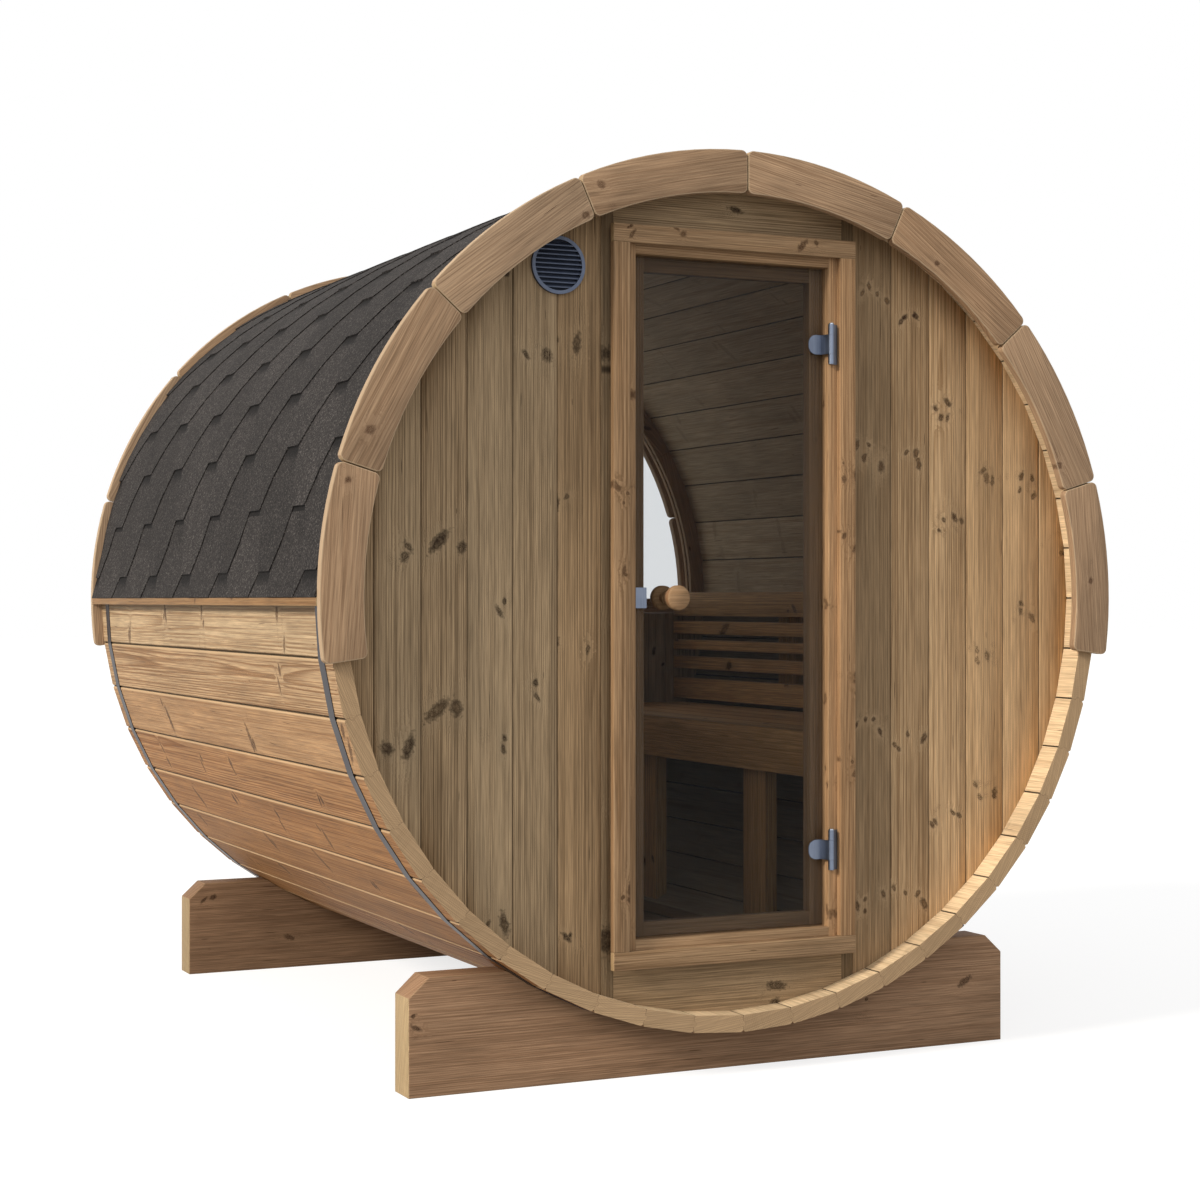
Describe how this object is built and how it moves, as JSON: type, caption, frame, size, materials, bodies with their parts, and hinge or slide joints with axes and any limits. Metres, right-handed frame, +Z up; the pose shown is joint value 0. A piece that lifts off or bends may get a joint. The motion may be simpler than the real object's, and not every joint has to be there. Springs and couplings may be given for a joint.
{
  "type": "barrel sauna",
  "caption": "Wooden barrel cabin lying in cradles, with a hinged glass door, a shingled upper half, a half-moon rear window, a slatted bench and a boarded floor.",
  "frame": {"origin": "on the ground, below the middle of the barrel", "axes": "+Z up, the barrel lies along Y, the door end faces -Y, the hinge side is +X"},
  "size_m": [2.107, 2.186, 2.1679],
  "materials": {
    "stave_timber": "planed, honey brown, knotty",
    "cradle_timber": "planed, mid brown",
    "band_steel": "dull rolled strip",
    "fascia_timber": "planed, pinkish tan",
    "roof_felt": "bitumen with mineral granules",
    "batten_timber": "planed",
    "wall_timber": "heat treated, grey brown, knotty",
    "frame_timber": "planed, heat treated",
    "door_pane": "tempered, bronze tint",
    "window_pane": "tempered, clear",
    "hinge_steel": "satin",
    "knob_timber": "turned pine",
    "vent_plastic": "satin blue grey",
    "floor_timber": "planed boards",
    "bench_timber": "planed, rounded edges"
  },
  "bodies": {
    "cabin": {"backrest_posts": "bench_timber", "backrest_slats": "bench_timber", "band_bolts": "band_steel", "bench_bearers": "bench_timber", "bench_front_board": "bench_timber", "bench_legs": "bench_timber", "bench_seat_boards": "bench_timber", "casing_rails": "frame_timber", "casing_stiles": "frame_timber", "door_frame_rails": "frame_timber", "door_jambs": "frame_timber", "door_posts": "wall_timber", "door_stop_rails": "frame_timber", "door_stop_stiles": "frame_timber", "eave_battens": "batten_timber", "floor_boards": "floor_timber", "floor_joists": "floor_timber", "front_band": "band_steel", "front_bearer": "cradle_timber", "front_fascia": "fascia_timber", "front_wall_cross_boards": "wall_timber", "front_wall_left": "wall_timber", "front_wall_right": "wall_timber", "hinge_frame_leaves": "hinge_steel", "hinge_pins": "hinge_steel", "rear_band": "band_steel", "rear_bearer": "cradle_timber", "rear_fascia": "fascia_timber", "rear_wall_boards": "wall_timber", "rear_window_arch": "frame_timber", "rear_window_glass": "window_pane", "rear_window_sill": "frame_timber", "roof_ridge_cap": "roof_felt", "roof_shingles_left": "roof_felt", "roof_shingles_right": "roof_felt", "staves_left_lower": "stave_timber", "staves_left_upper": "stave_timber", "staves_right_lower": "stave_timber", "staves_right_upper": "stave_timber", "vent_grille": "vent_plastic"},
    "door": {"door_glass": "door_pane", "door_hinge_leaves": "hinge_steel", "door_knob_outside": "knob_timber", "door_knob_inside": "knob_timber", "door_catch_plate": "hinge_steel"}
  },
  "joints": [
    {"name": "door_hinge", "type": "hinge", "parent": "cabin", "child": "door", "pos_m": [0.262, -1.034, 1.123], "axis": [0, 0, 1], "range_deg": [0, 110]}
  ]
}
